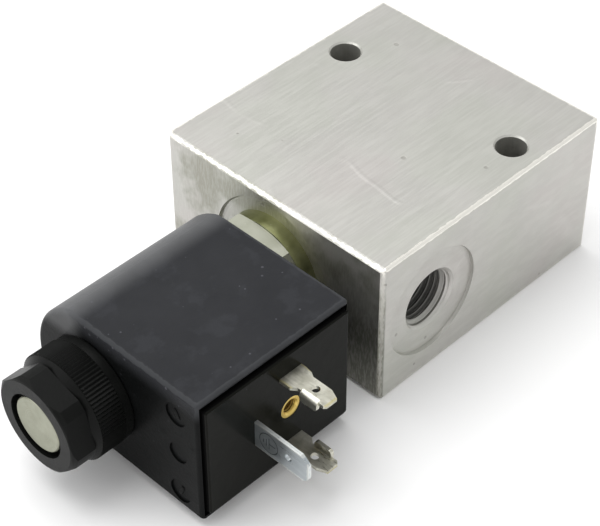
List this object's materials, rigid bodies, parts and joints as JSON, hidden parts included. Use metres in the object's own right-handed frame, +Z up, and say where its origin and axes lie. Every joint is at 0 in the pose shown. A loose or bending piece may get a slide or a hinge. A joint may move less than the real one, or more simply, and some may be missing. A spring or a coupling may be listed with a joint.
{
  "type": "solenoid directional valve",
  "caption": "Two-way solenoid cartridge valve: an aluminium port block, a hexagon-headed cartridge, an encapsulated coil with blade terminals and a knurled coil nut.",
  "frame": {"origin": "midway between the two mounting holes, on the underside of the port block", "axes": "+X along the valve axis from the coil to the block, terminals on the -Y side, +Z up"},
  "size_m": [0.1264, 0.0735, 0.035],
  "materials": {
    "block_aluminium": "drawn bar, sawn and milled, lightly scratched",
    "zinc_yellow_steel": "zinc plated, yellow passivated",
    "stainless_steel": "turned",
    "core_steel": "turned and plated",
    "hardened_steel": "ground",
    "spring_steel": "drawn wire",
    "yoke_steel": "zinc plated",
    "brass": "turned",
    "copper_wire": "enamelled copper wire",
    "tinned_contact": "tin plated brass",
    "earth_blade": "nickel plated",
    "coil_black": "moulded, satin with a glossy connector face",
    "bobbin_plastic": "glass filled nylon",
    "nut_black": "moulded, satin, knurled flange",
    "seal_rubber": "nitrile",
    "backup_white": "PTFE"
  },
  "bodies": {
    "valve": {"valve_body": "block_aluminium", "cartridge_body": "zinc_yellow_steel", "guide_tube": "stainless_steel", "fixed_core": "core_steel", "residual_shim": "brass", "valve_cage": "hardened_steel", "head_o_ring": "seal_rubber", "nose_o_ring": "seal_rubber", "backup_rings": "backup_white", "armature_spring": "spring_steel"},
    "armature": {"armature": "core_steel", "pilot_pin": "stainless_steel"},
    "poppet": {"main_poppet": "hardened_steel"},
    "coil": {"coil_housing": "coil_black", "coil_bobbin": "bobbin_plastic", "coil_winding": "copper_wire", "coil_leads": "copper_wire", "flux_sleeve": "yoke_steel", "flux_washer_front": "yoke_steel", "flux_washer_rear": "yoke_steel", "contact_terminal_upper": "tinned_contact", "contact_terminal_lower": "tinned_contact", "earth_terminal": "earth_blade", "brass_insert": "brass", "coil_seal_rear": "seal_rubber"},
    "nut": {"coil_nut": "nut_black", "coil_seal_front": "seal_rubber"}
  },
  "joints": [
    {"name": "armature_slide", "type": "slide", "parent": "valve", "child": "armature", "axis": [1, 0, 0], "range_m": [-0.0018, 0], "stiffness_N_per_m": 1500, "springref_m": 0.006, "deforming": ["armature_spring"]},
    {"name": "poppet_slide", "type": "slide", "parent": "valve", "child": "poppet", "axis": [1, 0, 0], "range_m": [-0.00126, 0]},
    {"name": "coil_swivel", "type": "hinge", "parent": "valve", "child": "coil", "pos_m": [-0.07325, 0, 0.0175], "axis": [1, 0, 0], "continuous": true},
    {"name": "nut_turn", "type": "hinge", "parent": "valve", "child": "nut", "pos_m": [-0.0999, 0, 0.0175], "axis": [1, 0, 0], "continuous": true}
  ],
  "couplings": [
    {"joint": "poppet_slide", "follows": "armature_slide", "ratio": 0.7}
  ]
}
